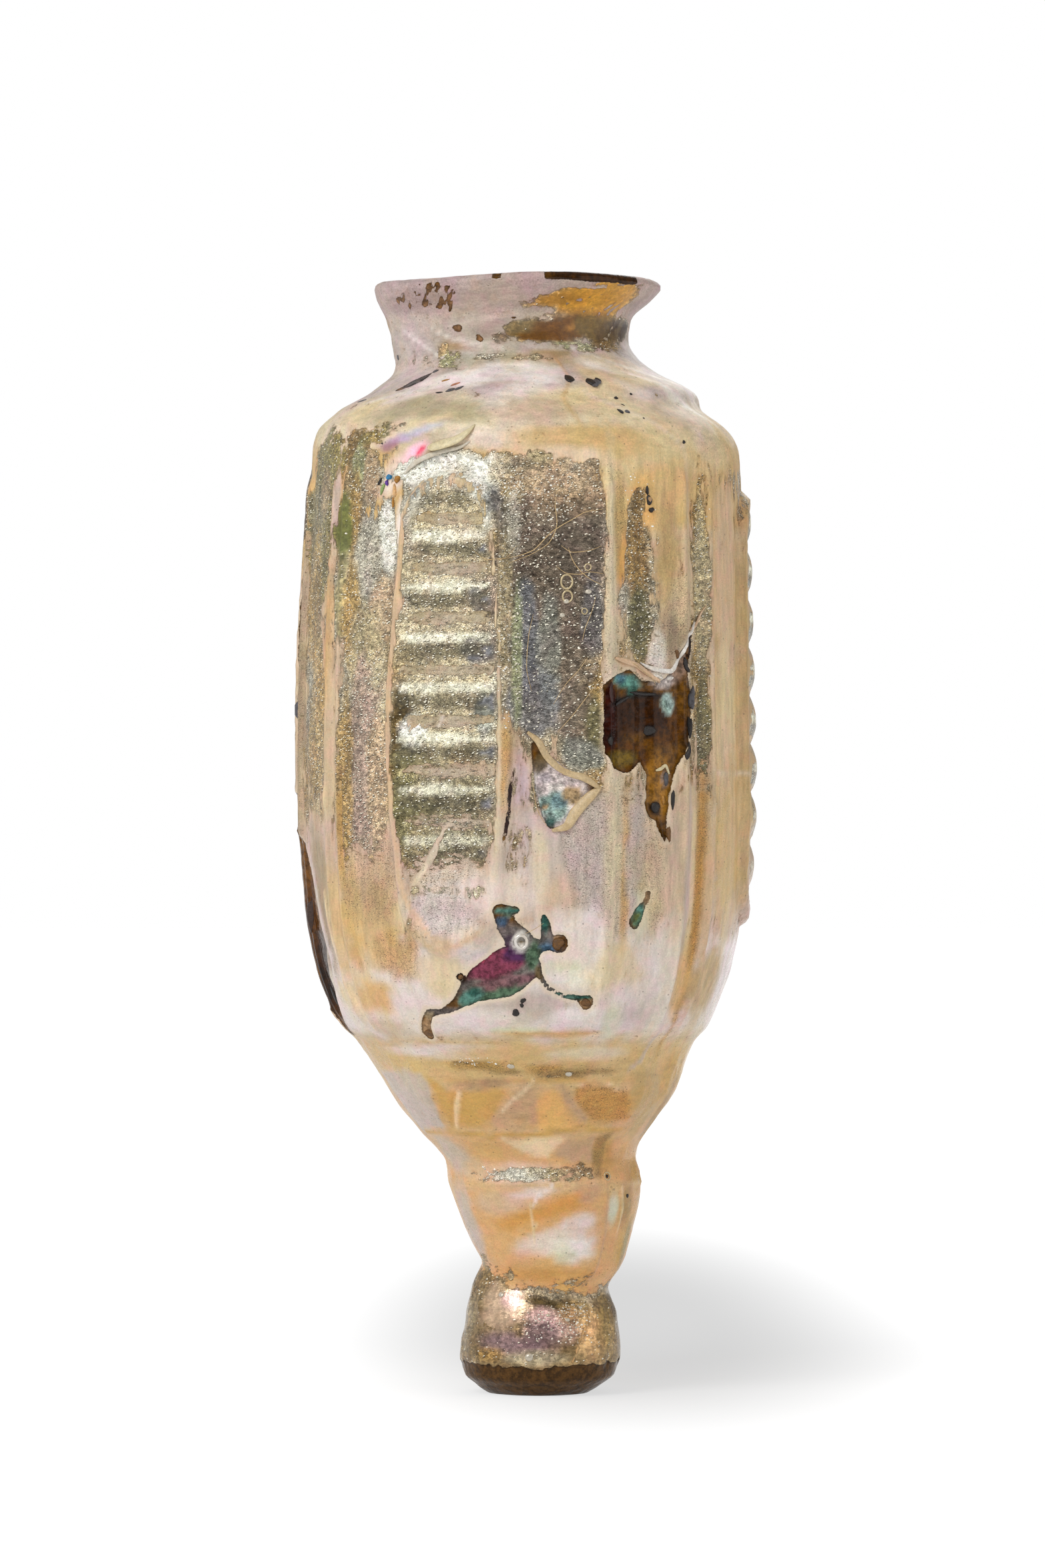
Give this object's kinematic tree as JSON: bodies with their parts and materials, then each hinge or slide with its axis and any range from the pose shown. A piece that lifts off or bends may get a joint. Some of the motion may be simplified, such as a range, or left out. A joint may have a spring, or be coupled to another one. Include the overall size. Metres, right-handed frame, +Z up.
{
  "type": "glass flask",
  "caption": "Hollow mould-blown glass flask with a flared rim, upright ribbed panels, a faceted taper and a pinched knob foot that it stands on.",
  "frame": {"origin": "middle of the flat underside of the foot", "axes": "+Z up through the mouth, -Y the front with a ribbed panel left of the middle, +X to the right"},
  "size_m": [0.0583, 0.0582, 0.14],
  "materials": {
    "weathered_glass": "weathered to an opaque pearly crust of cream, gold and silver, flaked to brown glass in places"
  },
  "bodies": {
    "root": {"flask": "weathered_glass"}
  },
  "joints": []
}
